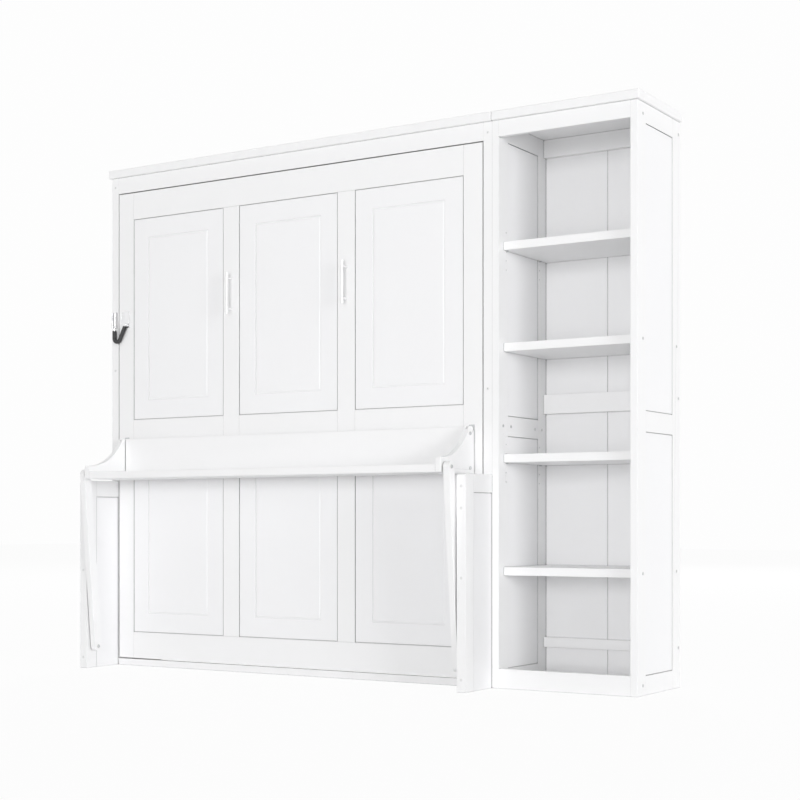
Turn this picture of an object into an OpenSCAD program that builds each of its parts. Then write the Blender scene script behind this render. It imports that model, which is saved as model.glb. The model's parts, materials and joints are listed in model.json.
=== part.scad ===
// Wall bed with a fold-down desk on its door and a bookcase at its right side.
// Lengths are millimetres. X runs to the viewer's right, Y from the room to the wall, Z up.
// Inside the modules X = 0 is the middle of the bed cabinet and Y = 0 the plane of its door;
// placed() then moves every piece so that the origin is the middle of the footprint, on the floor.

/* [Bed cabinet] */
// Outer width of the bed cabinet
main_w = 1936; // [1800:1:2100]
// Depth of both cabinets, from the door's plane to the wall
depth = 406; // [380:1:480]
// Height of both cabinets up to the underside of the crown
case_h = 2171; // [2150:1:2400]
// Thickness of the bed cabinet's side frames and wings
side_t = 38; // [34:1:50]
// Width of a side frame's front stile
front_stile_w = 76; // [60:1:100]
// Width of a side frame's rear stile
rear_stile_w = 74; // [60:1:110]
// Height of a side frame's top rail
side_top_rail_h = 72; // [50:1:110]
// Height of a side frame's middle rail
side_mid_rail_h = 76; // [50:1:110]
// Height of the middle rail's lower edge above the floor
side_mid_rail_z = 967; // [800:1:1100]
// Height of a side frame's bottom rail
side_base_rail_h = 71; // [50:1:110]
// How far the flat panels lie behind the faces of their frames
panel_recess = 1.5; // [1:0.5:3]
// Width of the shadow gap round a flat panel
shadow_w = 3; // [1.5:0.5:4]
// Depth of the shadow gap round a flat panel
shadow_d = 5; // [3:0.5:6]
// Depth of the grooves that hold the panels
groove_d = 8; // [5:1:12]
// Thickness of the crown boards
crown_t = 35; // [25:1:50]
// How far the crown stands past the front and the sides
crown_over = 11; // [0:1:30]
// Thickness of the rails across both cabinets
rail_t = 20; // [16:1:26]
// Height of the header rail over the door
header_h = 71; // [50:1:100]
// Height of the threshold rail under the door
threshold_h = 29; // [15:1:29]

/* [Back rails] */
// Height of the bed cabinet's top and bottom back rails
back_rail_h = 100; // [80:1:140]
// Height of the middle back rails' lower edge above the floor
back_mid_z = 1070; // [900:1:1200]
// Height of the middle back rails
back_mid_h = 77; // [60:1:110]
// Radius of the wall fixing holes
wall_hole_r = 4.5; // [3:0.5:6]
// Distance between the bed cabinet's wall fixing holes
wall_hole_span = 1600; // [1200:10:1600]

/* [Wings] */
// Height of the wings
wing_h = 817; // [780:1:818]
// How far the wings stand forward of the door
wing_d = 205; // [195:1:215]
// Width of a wing's stile
wing_stile_w = 62; // [60:1:90]
// Height of a wing's top rail
wing_rail_h = 69; // [50:1:90]
// Radius of the wings' rounded top corner
wing_round_r = 12; // [4:1:25]

/* [Bookcase] */
// Outer width of the bookcase
case_w = 600; // [500:1:800]
// Thickness of the bookcase's side frames
case_side_t = 28; // [24:1:40]
// Height of the bookcase's header rail
case_header_h = 63; // [50:1:100]
// Height of the bookcase's base rail
case_base_h = 75; // [50:1:110]
// Thickness of the back boards
back_board_t = 7; // [5:1:12]
// Gap between the back boards and at their outer edges
board_gap = 1.5; // [1:0.5:3]
// Height of the back's top rail
case_back_top_h = 71; // [50:1:110]
// Height of the back's bottom rail
case_back_low_h = 39; // [30:1:60]
// Height of the bottom back rail's lower edge above the floor
case_back_low_z = 134; // [100:1:200]
// Thickness of the shelves
shelf_t = 32; // [22:1:40]
// How far the shelves stand back from the front
shelf_back = 41; // [25:1:50]
// Height of the top shelf's underside
shelf_1_z = 1680; // [1600:1:1800]
// Height of the second shelf's underside
shelf_2_z = 1291; // [1220:1:1400]
// Height of the third shelf's underside
shelf_3_z = 864; // [780:1:900]
// Height of the lowest shelf's underside
shelf_4_z = 431; // [360:1:560]
// Radius of the shelf pins
pin_r = 2.5; // [2:0.5:4]
// Distance between neighbouring pin holes
pin_pitch = 36; // [25:1:40]
// Distance of the front pins behind the front
pin_front_y = 62; // [50:1:68]

/* [Door] */
// Gap between the door and the cabinet's stiles
door_gap = 4; // [2:0.5:5]
// Gap between the door and the header rail
door_top_gap = 4.5; // [3:0.5:8]
// Height of the door's lower edge above the floor
door_low_z = 34; // [34:0.5:40]
// Thickness of the door's frame
door_t = 20; // [18:1:22]
// Width of the door's stiles
door_stile_w = 84; // [70:1:110]
// Height of the door's top rail
door_top_rail_h = 118; // [80:1:150]
// Height of the door's middle rail
door_mid_rail_h = 118; // [80:1:150]
// Height of the middle rail's upper edge above the floor
door_mid_top_z = 1089; // [1040:1:1200]
// Height of the door's bottom rail
door_base_rail_h = 115; // [80:1:150]
// Thickness of the door's panels
door_panel_t = 14; // [12:0.5:15]
// Width of the border outside the routed line in a door panel
border_w = 84; // [40:1:110]
// Width of the routed line in a door panel
rout_w = 9; // [5:0.5:12]
// Depth of the routed line in a door panel
rout_d = 3; // [1.5:0.5:4]

/* [Handles] */
// Distance between a handle's posts
handle_span = 128; // [96:1:192]
// Length of a handle's bar
handle_l = 178; // [150:1:240]
// Radius of a handle's bar
handle_r = 6; // [5:0.5:8]
// Radius of a handle's posts
handle_post_r = 4.5; // [3:0.5:6]
// How far the bar's middle stands off the door
handle_out = 32; // [26:1:45]
// Height of a handle's middle above the floor
handle_z = 1606; // [1300:1:1800]

/* [Bed frame] */
// How far the bed's frame ends inside the door's upper and lower edges
bed_inset = 10.75; // [8:0.25:30]
// Thickness of the bed's side, head and foot rails
bed_rail_t = 20; // [18:1:25]
// Depth of the bed's rails behind the door
bed_rail_d = 170; // [120:1:190]
// Gap between the bed's side rails and the cabinet's sides
bed_side_gap = 10; // [9:0.5:14]
// Size of the ledges and the centre beam that carry the slats
ledge_w = 25; // [20:1:30]
// Thickness of a slat
slat_t = 12; // [10:1:20]
// Width of a slat
slat_w = 70; // [50:1:90]
// Number of slats
slat_count = 14; // [10:1:16]

/* [Mechanism] */
// Distance of the bed's pivot behind the door's plane
bed_pivot_y = 32; // [32:1:34]
// Height of the bed's pivot above the floor
bed_pivot_z = 228; // [227:0.5:230]
// Distance of the desk's hinge in front of the door's plane
desk_hinge_out = 36; // [35.5:0.5:38]
// Height of the desk's hinge above the floor
desk_hinge_z = 976; // [972:1:979]
// Distance of the links' upper pivot in front of the door's plane
link_top_out = 232; // [228:1:234]
// Height of the links' upper pivot above the floor
link_top_z = 842; // [840:1:848]
// Width of a link
link_w = 42; // [30:1:44]
// Thickness of a link
link_t = 25; // [18:1:25]
// Gap at each side of a link
link_gap = 6.5; // [4.5:0.5:8]
// Radius of the links' and the desk's pivot bolts
bolt_r = 5; // [4:0.5:6]
// Radius of the bolts' heads
head_r = 6.5; // [6:0.5:9]
// Thickness of the bolts' heads
head_t = 3.5; // [2:0.5:4]
// Radius of the bed's pivot pins
pivot_r = 6; // [5:0.5:6.5]
// Thickness of the steel pivot plates
plate_t = 4; // [3:0.5:6]
// Running clearance of pins in their bores
run_gap = 0.05; // [0.02:0.01:0.1]

/* [Desk] */
// Height of the desk's surface
desk_z = 852; // [850:1:858]
// Thickness of the desk top
desk_t = 30; // [22:1:32]
// How far the desk's front edge stands forward of the door
desk_out = 258; // [256:1:300]
// Thickness of the back board
desk_board_t = 18; // [12:1:20]
// Distance of the back board's face in front of the door
desk_board_out = 27; // [22:1:27]
// Gap between the back board's ends and the ears
board_end_gap = 3; // [1:0.5:5]
// Thickness of the ears
ear_t = 25; // [22:1:30]
// Gap between the ears' rear edge and the door
ear_gap = 6; // [5:0.5:8]
// Height of the ears' low front end above the desk
ear_nose_h = 26; // [15:1:40]
// Radius of the ears' hollow front edge
ear_curve_r = 238; // [180:1:300]
// Height of the ears' top above the desk's hinge
ear_top_h = 27; // [22:1:31]
// Radius about the hinge that the ears and the back board keep within behind it
swing_r = 32; // [31:0.5:32]

/* [Latch] */
// Height of the latch plates' lower edge above the floor
latch_z = 1500; // [1300:1:1600]
// Height of the latch plates
latch_h = 71; // [50:1:90]
// Distance from the hook's stud to its upright leg
hook_reach = 67; // [60:1:68]
// How far the hook's bend hangs below the stud
hook_drop = 73; // [50:1:90]
// Radius of the hook's rod
hook_r = 2.5; // [2:0.5:3]
// Radius of the hook's sleeve
sleeve_r = 8.5; // [6:0.5:9]
// Radius of the hook's bend
hook_bend_r = 17; // [12:1:20]

/* [Small parts] */
// Radius of the screw caps
cap_r = 5.5; // [3:0.5:6]
// How far the screw caps stand proud
cap_t = 1; // [0.5:0.5:2]
// Hairline gap between the members of a frame
joint_gap = 0.3; // [0.2:0.1:0.5]

/* [Hidden] */
$fn = 48;

paint = "whitesmoke";
steel = "silver";
half_w = main_w / 2;
inner_x = half_w - side_t;              // inner faces of the bed cabinet's sides
case_x0 = half_w + joint_gap;           // the bookcase starts here
case_x1 = half_w + case_w;
case_in_x0 = case_x0 + case_side_t;
case_in_x1 = case_x1 - case_side_t;
rear_stile_y = depth - rear_stile_w;
back_rail_y = depth - rail_t;
case_back_y = depth - back_board_t;     // front of the bookcase's back boards
case_rail_y = case_back_y - rail_t;     // front of the bookcase's back rails
panel_deep = panel_recess + shadow_d;   // bottom of the shadow gap, behind the frame's face
header_z = case_h - header_h;

// Footprint, for the origin
foot_x0 = -half_w - crown_over;
foot_x1 = case_x1 + crown_over;
centre_x = (foot_x0 + foot_x1) / 2;
centre_y = (depth - desk_out) / 2;

// Door
door_x = inner_x - door_gap;
door_top_z = header_z - door_top_gap;
panel_w = (2 * door_x - 4 * door_stile_w) / 3;
mid_stile_x = (panel_w + door_stile_w) / 2;
upper_z = [door_mid_top_z, door_top_z - door_top_rail_h];
lower_z = [door_low_z + door_base_rail_h, door_mid_top_z - door_mid_rail_h];

// Bed frame
bed_x = inner_x - bed_side_gap;
bed_in_x = bed_x - bed_rail_t;
bed_z0 = door_low_z + bed_inset;
bed_z1 = door_top_z - bed_inset;
mattress_l = bed_z1 - bed_z0 - 2 * bed_rail_t;
bed_y1 = door_t + bed_rail_d;

// The four pivots, as [Y, Z]; the links run parallel to the line from the bed's pivot to the hinge
bed_pivot = [bed_pivot_y, bed_pivot_z];
desk_hinge = [-desk_hinge_out, desk_hinge_z];
link_top = [-link_top_out, link_top_z];
link_low = link_top - (desk_hinge - bed_pivot);

// Desk and links
link_x = inner_x - link_gap - link_t;   // inner face of a link
ear_x = link_x - link_gap - ear_t;      // inner face of an ear
desk_low_z = desk_z - desk_t;
ear_top_z = desk_hinge_z + ear_top_h;
board_back_y = -desk_board_out + desk_board_t;
tongue_t = 6;                           // steel tongue of the desk's hinge
tongue_w = 18;
slot_room = 0.5;                        // free room round the tongue
tongue_x = ear_x + (ear_t - tongue_t) / 2;
flange_t = 3;                           // foot of the hinge bracket, on the door
flange_h = 70;
flange_w = 24;
bush_wall = 2;
spacer_r = 10;
spacer_gap = 0.2;
bolt_end = 3;                           // wood left beyond a bolt's end
ear_bolt_r = 4;
ear_bolt_l = 60;
ear_bolt_z = desk_low_z + 0.7 * desk_t;

// Bed pivot
plate_w = 60;
plate_h = 120;
plate_y0 = door_t + 1;
pivot_end_x = bed_in_x + 3;

// Screw places
cap_front_y = 50;                       // on the bookcase's right side
cap_shelf_y = depth - 35;
cap_rail_y = case_rail_y + rail_t / 2;
cap_depth = 12;
stile_cap_zs = [[-1, case_h - 41], [-1, 1312], [1, case_h - 41], [1, 1147]];
wing_cap_zs = [wing_h - 47, wing_h - 129, 427, 47];
block_w = 40;                           // corner blocks behind header and base rail
block_in = 15;                          // how far they end inside the rail's free edge
join_ys = [38, 101, depth - 102, depth - 42];  // joining bolts, in the middle rail

// Latch
stud_x = -door_x + 48;
stud_z = latch_z + 12;
hook_y = -12;
stud_r = 4;
eye_r = 8;
eye_t = 8;
latch_plate_t = 3;
keeper_w = 21;
bracket_w = 45;
keeper_slit = 9;
keeper_d = 20;
keeper_x = stud_x - hook_reach;
bend_c = [keeper_x + hook_bend_r, stud_z - hook_drop + hook_bend_r];
hook_d = [stud_x, stud_z] - bend_c;
hook_turn = atan2(hook_d[1], hook_d[0]) - acos(hook_bend_r / norm(hook_d));
hook_tip_z = latch_z + 8;
sleeve_top_z = latch_z - 11;

// ---------------------------------------------------------------- helpers

// Moves the cabinet's own frame to the part's origin
module placed() {
    translate([-centre_x, -centre_y, 0]) children();
}

// Box between two corners
module block(lo, hi) {
    translate(lo) cube(hi - lo);
}

// A flat shape drawn in Y and Z, made t thick from x upwards
module plate_yz(x, t) {
    translate([x, 0, 0]) rotate([90, 0, 90]) linear_extrude(t) children();
}

// Round bar along X from x0 to x1
module bar_x(p, x0, x1, r) {
    translate([x0, p[0], p[1]]) rotate([0, 90, 0]) cylinder(h = x1 - x0, r = r);
}

// Round bar along Y from y0 to y1
module bar_y(x, z, y0, y1, r) {
    translate([x, y0, z]) rotate([-90, 0, 0]) cylinder(h = y1 - y0, r = r);
}

// Draws its children at the right and, mirrored, at the left
module both_sides() {
    children();
    mirror([1, 0, 0]) children();
}

// ---------------------------------------------------------------- side frames

// Stiles and rails of a side frame that starts at x and is t thick
module side_members(x, t) {
    block([x, 0, 0], [x + t, front_stile_w, case_h]);
    block([x, rear_stile_y, 0], [x + t, depth, case_h]);
    for (z = [[0, side_base_rail_h],
              [side_mid_rail_z, side_mid_rail_z + side_mid_rail_h],
              [case_h - side_top_rail_h, case_h]])
        block([x, front_stile_w + joint_gap, z[0]], [x + t, rear_stile_y - joint_gap, z[1]]);
}

// Openings of a side frame, as [lower edge, upper edge]
side_panel_zs = [[side_base_rail_h, side_mid_rail_z],
                 [side_mid_rail_z + side_mid_rail_h, case_h - side_top_rail_h]];

// The middle layers of a side frame's two panels, with their tongues
module side_panel_cores(x, t) {
    for (z = side_panel_zs)
        block([x + panel_deep, front_stile_w - groove_d, z[0] - groove_d],
              [x + t - panel_deep, rear_stile_y + groove_d, z[1] + groove_d]);
}

// The two flat panels of a side frame, nearly flush at both faces
module side_panel_pair(x, t) {
    side_panel_cores(x, t);
    for (z = side_panel_zs)
        block([x + panel_recess, front_stile_w + shadow_w, z[0] + shadow_w],
              [x + t - panel_recess, rear_stile_y - shadow_w, z[1] - shadow_w]);
}

// Mortise and bore for the bed's pivot, at the right side
module pivot_mortise() {
    block([inner_x - 1, plate_y0, bed_pivot_z - plate_h / 2],
          [inner_x + plate_t, plate_y0 + plate_w, bed_pivot_z + plate_h / 2]);
}

// Right-hand side frame of the bed cabinet
module main_side() {
    difference() {
        side_members(inner_x, side_t);
        side_panel_cores(inner_x, side_t);
        pivot_mortise();
    }
}

module main_side_panels() {
    difference() {
        side_panel_pair(inner_x, side_t);
        pivot_mortise();
    }
}

module left_side_frame() {
    color(paint) placed() mirror([1, 0, 0]) main_side();
}

module right_side_frame() {
    color(paint) placed() difference() {
        main_side();
        join_bores(half_w - cap_depth, half_w + 1);
    }
}

module left_side_panels() {
    color(paint) placed() mirror([1, 0, 0]) main_side_panels();
}

module right_side_panels() {
    color(paint) placed() main_side_panels();
}

// ---------------------------------------------------------------- wings

// Wing stile's outline, rounded at the top of its front edge
module wing_stile_shape() {
    difference() {
        translate([-wing_d, 0]) square([wing_stile_w, wing_h]);
        translate([-wing_d, wing_h - wing_round_r]) difference() {
            square(wing_round_r);
            translate([wing_round_r, 0]) circle(r = wing_round_r);
        }
    }
}

// The middle layer of a wing's panel, which stands on the floor
module wing_panel_core() {
    block([inner_x + panel_deep, -wing_d + wing_stile_w - groove_d, 0],
          [inner_x + side_t - panel_deep, -joint_gap, wing_h - wing_rail_h + groove_d]);
}

module wing_panel() {
    wing_panel_core();
    block([inner_x + panel_recess, -wing_d + wing_stile_w + shadow_w, 0],
          [inner_x + side_t - panel_recess, -shadow_w, wing_h - wing_rail_h - shadow_w]);
}

module wing_frame() {
    difference() {
        union() {
            plate_yz(inner_x, side_t) wing_stile_shape();
            block([inner_x, -wing_d + wing_stile_w + joint_gap, wing_h - wing_rail_h],
                  [inner_x + side_t, -joint_gap, wing_h]);
        }
        wing_panel_core();
        bar_x(link_low, inner_x - 1, inner_x + side_t - bolt_end, bolt_r + run_gap);
    }
}

module left_wing_frame() {
    color(paint) placed() mirror([1, 0, 0]) wing_frame();
}

module right_wing_frame() {
    color(paint) placed() wing_frame();
}

module wing_panels() {
    color(paint) placed() both_sides() wing_panel();
}

// ---------------------------------------------------------------- crown and rails

module crown_boards() {
    color(paint) placed() {
        block([foot_x0, -crown_over, case_h], [half_w, depth, case_h + crown_t]);
        block([case_x0, -crown_over, case_h], [foot_x1, depth, case_h + crown_t]);
    }
}

module bed_header_rail() {
    color(paint) placed() block([-inner_x, 0, header_z], [inner_x, rail_t, case_h]);
}

module threshold_rail() {
    color(paint) placed() block([-inner_x, 0, 0], [inner_x, rail_t, threshold_h]);
}

module bed_back_rails() {
    color(paint) placed() difference() {
        for (z = [[0, back_rail_h], [back_mid_z, back_mid_z + back_mid_h],
                  [case_h - back_rail_h, case_h]])
            block([-inner_x, back_rail_y, z[0]], [inner_x, depth, z[1]]);
        for (z = [back_mid_z + back_mid_h / 2, case_h - back_rail_h / 2])
            both_sides() bar_y(wall_hole_span / 2, z, back_rail_y - 1, depth + 1, wall_hole_r);
    }
}

// ---------------------------------------------------------------- bookcase

// Heights of the pins that carry the two loose shelves
pin_zs = [shelf_1_z - pin_r, shelf_3_z - pin_r];
pin_ys = [pin_front_y, depth - pin_front_y];
pin_in = 9;                             // length of a pin in the wood and out of it

// Rows of pin holes in a side frame, opening towards the shelves
module pin_holes(x) {
    for (z = pin_zs, y = pin_ys, k = [-2:2])
        bar_x([y, z + k * pin_pitch], x - pin_in - joint_gap, x + pin_in + joint_gap, pin_r);
}

module join_bores(x0, x1) {
    for (y = join_ys)
        bar_x([y, side_mid_rail_z + side_mid_rail_h / 2], x0, x1, cap_r);
}

module bookcase_left_frame() {
    color(paint) placed() difference() {
        side_members(case_x0, case_side_t);
        side_panel_cores(case_x0, case_side_t);
        pin_holes(case_in_x0);
        join_bores(case_x0 - 1, case_in_x0 + 1);
    }
}

module bookcase_right_frame() {
    color(paint) placed() difference() {
        side_members(case_in_x1, case_side_t);
        side_panel_cores(case_in_x1, case_side_t);
        pin_holes(case_in_x1);
        case_side_caps();
    }
}

module bookcase_left_panels() {
    color(paint) placed() side_panel_pair(case_x0, case_side_t);
}

module bookcase_right_panels() {
    color(paint) placed() side_panel_pair(case_in_x1, case_side_t);
}

// Board across the bookcase between its side frames
module across(y0, y1, z0, z1) {
    block([case_in_x0, y0, z0], [case_in_x1, y1, z1]);
}

module bookcase_header_rail() {
    color(paint) placed() across(0, rail_t, case_h - case_header_h, case_h);
}

module bookcase_base_rail() {
    color(paint) placed() across(0, rail_t, 0, case_base_h);
}

module bookcase_back_boards() {
    middle = (case_in_x0 + case_in_x1) / 2;
    color(paint) placed() {
        block([case_in_x0 + board_gap, case_back_y, 0], [middle - board_gap / 2, depth, case_h]);
        block([middle + board_gap / 2, case_back_y, 0], [case_in_x1 - board_gap, depth, case_h]);
    }
}

module bookcase_back_rails() {
    color(paint) placed() {
        across(case_rail_y, case_back_y, case_back_low_z, case_back_low_z + case_back_low_h);
        across(case_rail_y, case_back_y, back_mid_z, back_mid_z + back_mid_h);
        across(case_rail_y, case_back_y, case_h - case_back_top_h, case_h);
    }
}

module shelf(z) {
    color(paint) placed()
        block([case_in_x0 + joint_gap, shelf_back, z],
              [case_in_x1 - joint_gap, case_back_y - joint_gap, z + shelf_t]);
}

module shelf_1() { shelf(shelf_1_z); }
module shelf_2() { shelf(shelf_2_z); }
module shelf_3() { shelf(shelf_3_z); }
module shelf_4() { shelf(shelf_4_z); }

module shelf_pins() {
    color(steel) placed() for (z = pin_zs, y = pin_ys) {
        bar_x([y, z], case_in_x0 - pin_in, case_in_x0 + pin_in, pin_r);
        bar_x([y, z], case_in_x1 - pin_in, case_in_x1 + pin_in, pin_r);
    }
}

// Blocks that join the header and base rails to the side frames
module corner_blocks() {
    color(paint) placed()
        for (z = [[0, case_base_h - block_in], [case_h - case_header_h + block_in, case_h]],
             x = [case_in_x0, case_in_x1 - block_w])
            block([x, rail_t, z[0]], [x + block_w, cap_front_y + cap_r * 3, z[1]]);
}

// ---------------------------------------------------------------- screws and bolts

module cap_y(x, z, y) {
    bar_y(x, z, y - cap_t, y, cap_r);
}

module cabinet_screw_caps() {
    color(steel) placed() {
        for (s = stile_cap_zs) cap_y(s[0] * (half_w - side_t / 2), s[1], 0);
        for (z = wing_cap_zs) both_sides() cap_y(inner_x + side_t / 2, z, -wing_d);
    }
}

// Screws through the bookcase's right side, into shelves, rails and corner blocks
module case_side_caps() {
    shelves = [shelf_2_z + shelf_t / 2, shelf_4_z + shelf_t / 2];
    blocks = [case_h - case_header_h + block_in + 6, case_base_h / 2];
    rails = [case_h - case_back_top_h + 21, back_mid_z + back_mid_h / 2,
             case_back_low_z + case_back_low_h / 2];
    for (z = concat(blocks, shelves)) bar_x([cap_front_y, z], case_in_x1, case_x1 + cap_t, cap_r);
    for (z = shelves) bar_x([cap_shelf_y, z], case_in_x1, case_x1 + cap_t, cap_r);
    for (z = rails) bar_x([cap_rail_y, z], case_in_x1, case_x1 + cap_t, cap_r);
}

module bookcase_screw_caps() {
    color(steel) placed() case_side_caps();
}

module joining_bolts() {
    color(steel) placed() join_bores(half_w - cap_depth, case_in_x0 + cap_t);
}

// ---------------------------------------------------------------- bed pivot

module cabinet_pivot_plates() {
    color(steel) placed() both_sides() {
        block([inner_x, plate_y0, bed_pivot_z - plate_h / 2],
              [inner_x + plate_t, plate_y0 + plate_w, bed_pivot_z + plate_h / 2]);
        bar_x(bed_pivot, pivot_end_x, inner_x + plate_t, pivot_r);
    }
}

// Ring round a pivot, between x0 and x1
module ring_x(p, x0, x1, outer, bore) {
    difference() {
        bar_x(p, x0, x1, outer);
        bar_x(p, x0 - 1, x1 + 1, bore);
    }
}

module pivot_spacers() {
    color("ivory") placed() both_sides() {
        ring_x(bed_pivot, bed_x + plate_t + spacer_gap, inner_x - spacer_gap, spacer_r,
               pivot_r + run_gap);
        ring_x(link_low, link_x + link_t + spacer_gap, inner_x - spacer_gap, spacer_r,
               bolt_r + run_gap);
    }
}

// Bolt along X with its head outside x_head, which points towards dir
module pivot_bolt(p, x_head, x_tip, r) {
    dir = sign(x_head - x_tip);
    bar_x(p, min(x_head, x_tip), max(x_head, x_tip), r);
    bar_x(p, min(x_head, x_head + dir * head_t), max(x_head, x_head + dir * head_t), head_r);
}

module link_lower_bolts() {
    color(steel) placed() both_sides()
        pivot_bolt(link_low, link_x - spacer_gap, inner_x + side_t - bolt_end, bolt_r);
}

// ---------------------------------------------------------------- door

// Door panel in an opening that starts at x and whose edges lie at the heights z
module door_panel(x, z) {
    door_panel_core(x, z);
    difference() {
        panel_field(x, z, shadow_w, panel_recess, panel_deep + 1);
        difference() {
            panel_field(x, z, border_w, 0, panel_recess + rout_d);
            panel_field(x, z, border_w + rout_w, -1, panel_recess + rout_d + 1);
        }
    }
}

// Rectangle that lies inset within the opening, from y0 to y1
module panel_field(x, z, inset, y0, y1) {
    block([x + inset, y0, z[0] + inset], [x + panel_w - inset, y1, z[1] - inset]);
}

// The layer of a door panel that carries its tongues
module door_panel_core(x, z) {
    panel_field(x, z, -groove_d, panel_deep, panel_recess + door_panel_t);
}

// Left edges of the three columns of panels
column_xs = [for (k = [-1:1]) k * (panel_w + door_stile_w) - panel_w / 2];

// Space that the panels' tongues take out of the door's frame
module panel_grooves() {
    for (x = column_xs, z = [upper_z, lower_z]) door_panel_core(x, z);
}

module door_stiles() {
    color(paint) placed() difference() {
        both_sides() {
            block([door_x - door_stile_w, 0, door_low_z], [door_x, door_t, door_top_z]);
            block([mid_stile_x - door_stile_w / 2, 0, lower_z[0] + joint_gap],
                  [mid_stile_x + door_stile_w / 2, door_t, upper_z[1] - joint_gap]);
        }
        panel_grooves();
    }
}

module door_rails() {
    long = door_x - door_stile_w - joint_gap;
    color(paint) placed() difference() {
        union() {
            block([-long, 0, door_low_z], [long, door_t, lower_z[0]]);
            block([-long, 0, upper_z[1]], [long, door_t, door_top_z]);
            for (x = column_xs)
                block([x + joint_gap, 0, lower_z[1]], [x + panel_w - joint_gap, door_t, upper_z[0]]);
        }
        panel_grooves();
    }
}

module door_upper_panels() {
    color(paint) placed() for (x = column_xs) door_panel(x, upper_z);
}

module door_lower_panels() {
    color(paint) placed() for (x = column_xs) door_panel(x, lower_z);
}

module handle(x) {
    color(paint) placed() {
        translate([x, -handle_out, handle_z - handle_l / 2]) cylinder(h = handle_l, r = handle_r);
        for (s = [-1, 1])
            bar_y(x, handle_z + s * handle_span / 2, -handle_out, 0, handle_post_r);
    }
}

module handle_left() { handle(-mid_stile_x); }
module handle_right() { handle(mid_stile_x); }

// ---------------------------------------------------------------- bed frame

module bed_side_rails() {
    color(paint) placed() both_sides() difference() {
        block([bed_in_x, door_t, bed_z0], [bed_x, bed_y1, bed_z1]);
        bar_x(bed_pivot, pivot_end_x - 1, bed_x + 1, pivot_r + 0.5);
    }
}

module bed_end_rails() {
    long = bed_in_x - joint_gap;
    color(paint) placed() for (z = [bed_z0, bed_z1 - bed_rail_t])
        block([-long, door_t, z], [long, bed_y1, z + bed_rail_t]);
}

module slat_ledges() {
    color("burlywood") placed() both_sides()
        block([bed_in_x - ledge_w, door_t, bed_z0 + bed_rail_t],
              [bed_in_x, door_t + ledge_w, bed_z1 - bed_rail_t]);
}

module bed_centre_beam() {
    color("burlywood") placed()
        block([-ledge_w, door_t, bed_z0 + bed_rail_t],
              [ledge_w, door_t + ledge_w, bed_z1 - bed_rail_t]);
}

module bed_slats() {
    pitch = mattress_l / slat_count;
    color("burlywood") placed() for (k = [0 : slat_count - 1])
        translate([0, 0, bed_z0 + bed_rail_t + (k + 0.5) * pitch])
            block([-bed_in_x + 1, door_t + ledge_w, -slat_w / 2],
                  [bed_in_x - 1, door_t + ledge_w + slat_t, slat_w / 2]);
}

module bed_pivot_sockets() {
    color(steel) placed() both_sides() difference() {
        block([bed_x, plate_y0, bed_pivot_z - plate_h / 2],
              [bed_x + plate_t, plate_y0 + plate_w, bed_pivot_z + plate_h / 2]);
        bar_x(bed_pivot, bed_x - 1, bed_x + plate_t + 1, pivot_r + run_gap);
    }
}

// Steel brackets on the door whose tongues carry the desk's ears
module desk_hinge_brackets() {
    reach = tongue_w / 2;
    flat = reach - 0.2;
    color(steel) placed() both_sides() difference() {
        union() {
            block([tongue_x + (tongue_t - flange_w) / 2, -flange_t, desk_hinge_z - flange_h / 2],
                  [tongue_x + (tongue_t + flange_w) / 2, 0, desk_hinge_z + flange_h / 2]);
            block([tongue_x, -desk_hinge_out, desk_hinge_z - flat],
                  [tongue_x + tongue_t, -flange_t / 2, desk_hinge_z + flat]);
            bar_x(desk_hinge, tongue_x, tongue_x + tongue_t, reach);
        }
        bar_x(desk_hinge, tongue_x - 1, tongue_x + tongue_t + 1, bolt_r + run_gap);
    }
}

// ---------------------------------------------------------------- desk

module desk_top() {
    color(paint) placed() difference() {
        block([-ear_x, -desk_out, desk_low_z], [ear_x, board_back_y, desk_z]);
        both_sides() bar_x([-desk_hinge_out, ear_bolt_z], ear_x - ear_bolt_l, ear_x + 1, ear_bolt_r);
    }
}

module desk_back_board() {
    color(paint) placed() intersection() {
        block([-ear_x + board_end_gap, -desk_board_out, desk_z + joint_gap],
              [ear_x - board_end_gap, board_back_y, ear_top_z]);
        union() {
            bar_x(desk_hinge, -ear_x - 1, ear_x + 1, swing_r);
            block([-ear_x - 1, -desk_out, desk_low_z], [ear_x + 1, 0, desk_hinge_z]);
        }
    }
}

// Side view of an ear: low nose, hollow front edge, top corner rounded about the hinge
module ear_shape() {
    nose_z = desk_z + ear_nose_h;
    nose_y = 8;
    difference() {
        union() {
            translate([-desk_out, desk_low_z])
                square([desk_out - ear_gap, desk_hinge_z - desk_low_z]);
            intersection() {
                translate([-desk_out, desk_hinge_z]) square([desk_out - ear_gap, ear_top_h]);
                union() {
                    translate(desk_hinge) circle(r = swing_r);
                    translate([-desk_out, desk_hinge_z]) square([desk_out - desk_hinge_out, ear_top_h]);
                }
            }
        }
        translate([-desk_out + nose_y, nose_z + ear_curve_r]) circle(r = ear_curve_r, $fn = 96);
        translate([-desk_out - 1, nose_z]) square([nose_y + 1, ear_top_z]);
    }
}

module ear() {
    reach = tongue_w / 2 + slot_room;
    difference() {
        plate_yz(ear_x + joint_gap, ear_t - joint_gap) ear_shape();
        block([tongue_x - slot_room, -desk_hinge_out - reach, desk_hinge_z - reach],
              [tongue_x + tongue_t + slot_room, 1, ear_top_z + 1]);
        bar_x(desk_hinge, ear_x + bolt_end, ear_x + ear_t + 1, bolt_r + run_gap);
        bar_x(link_top, ear_x + bolt_end, ear_x + ear_t + 1, bolt_r + run_gap);
        bar_x([-desk_hinge_out, ear_bolt_z], ear_x - 1, ear_x + ear_t + 1, ear_bolt_r);
    }
}

module desk_ear_left() {
    color(paint) placed() mirror([1, 0, 0]) ear();
}

module desk_ear_right() {
    color(paint) placed() ear();
}

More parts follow.
